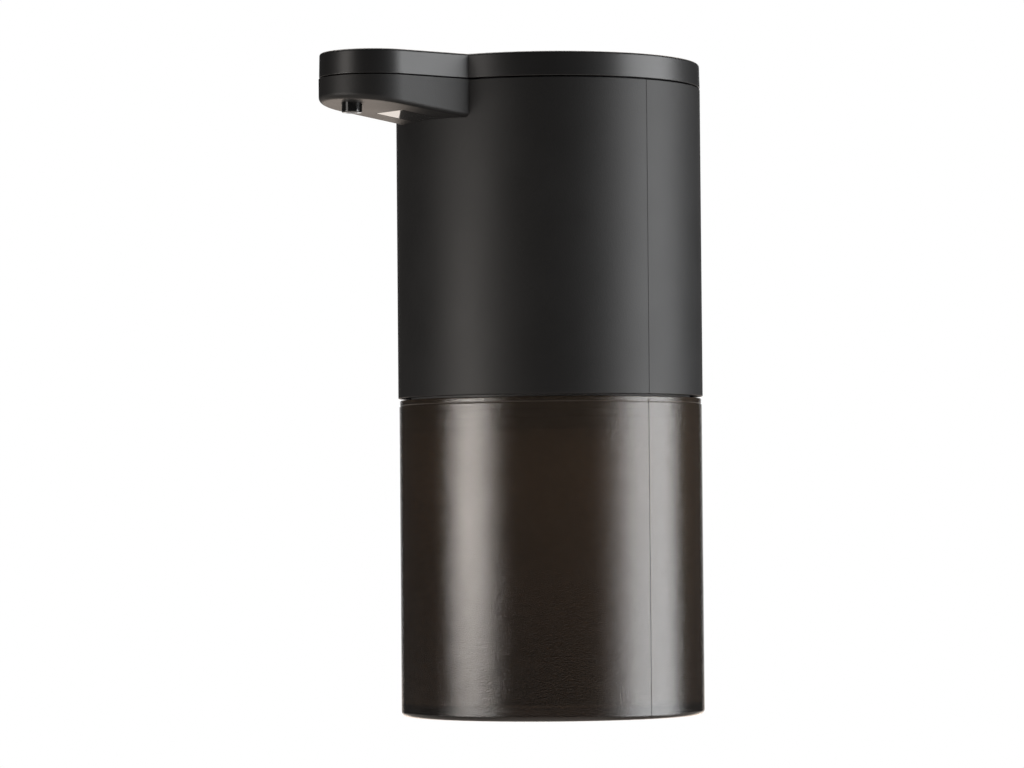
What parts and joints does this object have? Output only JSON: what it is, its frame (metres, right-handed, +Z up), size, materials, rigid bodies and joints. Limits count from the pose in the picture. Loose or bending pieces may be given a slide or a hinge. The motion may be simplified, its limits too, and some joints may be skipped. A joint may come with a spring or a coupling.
{
  "type": "wall mounted soap dispenser",
  "caption": "Round wall-hung touch-free soap dispenser: black housing with a short sensor spout, smoked pull-down tank, sprung top button and slim lift-off bracket.",
  "frame": {"origin": "centre of the adhesive pad's face on the wall", "axes": "+Z up, +Y into the wall, the spout points along -Y"},
  "size_m": [0.075, 0.1054, 0.1599],
  "materials": {
    "bracket_black": "moulded, fine matte",
    "foam_tape": "dense double-sided foam",
    "matte_black": "moulded, fine spark-eroded texture",
    "satin_black": "moulded, smooth satin",
    "gloss_black": "polished black",
    "board_green": "solder mask",
    "switch_steel": "stamped sheet",
    "steel": "turned and plated",
    "can_steel": "drawn and nickel plated",
    "chip_black": "moulded epoxy",
    "light_white": "clear diffusing",
    "inner_plastic": "moulded, unpainted",
    "seal_rubber": "moulded, dull",
    "silicone": "translucent silicone",
    "acetal": "moulded natural acetal",
    "cell_wrap": "shrink sleeve",
    "wire_red": "insulation",
    "smoked_plastic": "frosted smoke-brown, translucent"
  },
  "bodies": {
    "bracket": {"wall_bracket": "bracket_black", "adhesive_pad": "foam_tape"},
    "dispenser": {"housing": "matte_black", "lid": "satin_black", "nozzle": "gloss_black", "sensor_window": "gloss_black", "sensor_board": "board_green", "ir_emitter": "gloss_black", "ir_receiver": "gloss_black", "button_switch": "switch_steel", "button_board": "board_green", "status_led": "light_white", "light_pipe": "light_white", "pump_deck": "inner_plastic", "tank_seal": "seal_rubber", "deck_screw_1": "steel", "deck_screw_2": "steel", "deck_screw_3": "steel", "pump_screw_1": "steel", "pump_screw_2": "steel", "pump_screw_3": "steel", "pump_case": "inner_plastic", "pump_cover": "inner_plastic", "rotor_axle": "steel", "pump_hose": "silicone", "inlet_elbow": "acetal", "deck_grommet": "seal_rubber", "dip_tube": "acetal", "intake_strainer": "acetal", "outlet_hose": "silicone", "idler_pin": "steel", "gear_plate": "inner_plastic", "motor_can": "can_steel", "motor_end_cap": "inner_plastic", "cell_cup": "inner_plastic", "battery_cell": "cell_wrap", "main_board": "board_green", "controller_chip": "chip_black", "battery_plug": "acetal", "charging_socket": "steel", "motor_wire_black": "seal_rubber", "motor_wire_red": "wire_red", "battery_lead": "wire_red"},
    "button": {"power_button": "satin_black", "switch_plunger": "chip_black"},
    "tank": {"tank": "smoked_plastic"},
    "rotor": {"pump_rotor": "acetal", "rotor_wheel": "acetal", "roller_pin_1": "steel", "roller_pin_2": "steel", "roller_pin_3": "steel"},
    "roller_1": {"roller_1": "acetal"},
    "roller_2": {"roller_2": "acetal"},
    "roller_3": {"roller_3": "acetal"},
    "idler": {"idler_gear": "acetal"},
    "armature": {"motor_pinion": "acetal", "motor_shaft": "steel"},
    "port_cover": {"port_cover": "seal_rubber"}
  },
  "joints": [
    {"name": "lift_off", "type": "slide", "parent": "bracket", "child": "dispenser", "axis": [0, 0, 1], "range_m": [0, 0.0074]},
    {"name": "tank_release", "type": "slide", "parent": "dispenser", "child": "tank", "axis": [0, 0, -1], "range_m": [0, 0.085]},
    {"name": "button_press", "type": "slide", "parent": "dispenser", "child": "button", "axis": [0, 0, -1], "range_m": [0, 0.0005], "stiffness_N_per_m": 1500},
    {"name": "rotor_spin", "type": "hinge", "parent": "dispenser", "child": "rotor", "pos_m": [0, -0.0475, -0.0357], "axis": [0, 0, 1], "continuous": true},
    {"name": "idler_spin", "type": "hinge", "parent": "dispenser", "child": "idler", "pos_m": [0.0125, -0.0475, -0.0287], "axis": [0, 0, 1], "continuous": true},
    {"name": "motor_spin", "type": "hinge", "parent": "dispenser", "child": "armature", "pos_m": [0, -0.0475, -0.0287], "axis": [0, 0, 1], "continuous": true},
    {"name": "roller_1_spin", "type": "hinge", "parent": "rotor", "child": "roller_1", "pos_m": [0.0048, -0.0475, -0.037], "axis": [0, 0, 1], "continuous": true},
    {"name": "roller_2_spin", "type": "hinge", "parent": "rotor", "child": "roller_2", "pos_m": [-0.0024, -0.04334, -0.037], "axis": [0, 0, 1], "continuous": true},
    {"name": "roller_3_spin", "type": "hinge", "parent": "rotor", "child": "roller_3", "pos_m": [-0.0024, -0.05166, -0.037], "axis": [0, 0, 1], "continuous": true},
    {"name": "cover_swing", "type": "hinge", "parent": "dispenser", "child": "port_cover", "pos_m": [0, -0.00185, -0.0352], "axis": [1, 0, 0], "range_deg": [0, 85]}
  ],
  "couplings": [
    {"joint": "idler_spin", "follows": "rotor_spin", "ratio": -4},
    {"joint": "motor_spin", "follows": "rotor_spin", "ratio": 16},
    {"joint": "roller_1_spin", "follows": "rotor_spin", "ratio": -3},
    {"joint": "roller_2_spin", "follows": "rotor_spin", "ratio": -3},
    {"joint": "roller_3_spin", "follows": "rotor_spin", "ratio": -3}
  ]
}
